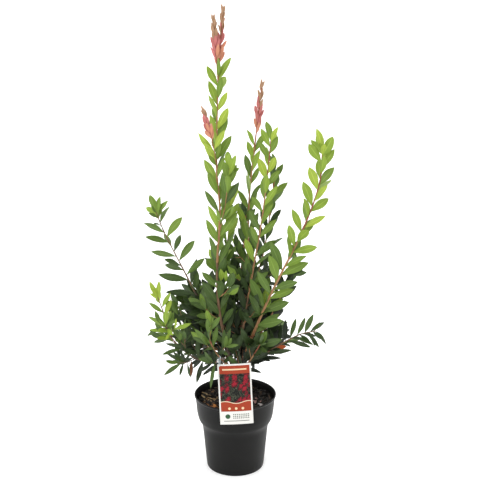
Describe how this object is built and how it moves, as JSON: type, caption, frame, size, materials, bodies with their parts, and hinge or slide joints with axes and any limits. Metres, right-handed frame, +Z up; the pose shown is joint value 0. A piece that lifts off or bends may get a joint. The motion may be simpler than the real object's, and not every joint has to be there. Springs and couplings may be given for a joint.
{
  "type": "bottlebrush plant",
  "caption": "Young bottlebrush shrub with ascending leafy stems of pointed blades, growing in a round tapering nursery pot with a hung picture card",
  "frame": {"origin": "centre of the pot's flat underside", "axes": "+Z up along the pot's axis; the picture card faces -Y; +X to the card's right as seen from the front"},
  "size_m": [0.4305, 0.3467, 1.0927],
  "materials": {
    "pot": "satin, moulded",
    "soil": "crumbly, matt",
    "card": "printed, smooth",
    "bark": "rough bark",
    "leaf_low": "waxy dark green",
    "leaf_middle": "waxy green",
    "leaf_top": "waxy yellow green"
  },
  "bodies": {
    "root": {"pot": "pot", "soil": "soil", "card": "card", "trunk": "bark", "bough_tall": "bark", "bough_centre": "bark", "bough_front": "bark", "bough_right": "bark", "bough_left": "bark", "bough_back": "bark", "bough_back_mid": "bark", "bough_low_left": "bark", "bough_low_right": "bark", "bough_right_back": "bark", "bough_low_front": "bark", "bough_back_left": "bark", "bough_low_back": "bark", "bough_low_front_right": "bark", "bough_low_back_left": "bark", "foliage_tall": "leaf_top", "foliage_centre": "leaf_top", "foliage_front": "leaf_middle", "foliage_right": "leaf_top", "foliage_left": "leaf_middle", "foliage_back": "leaf_middle", "foliage_back_mid": "leaf_middle", "foliage_low_left": "leaf_low", "foliage_low_right": "leaf_low", "foliage_right_back": "leaf_low", "foliage_low_front": "leaf_middle", "foliage_back_left": "leaf_low", "foliage_low_back": "leaf_low", "foliage_low_front_right": "leaf_low", "foliage_low_back_left": "leaf_low"}
  },
  "joints": []
}
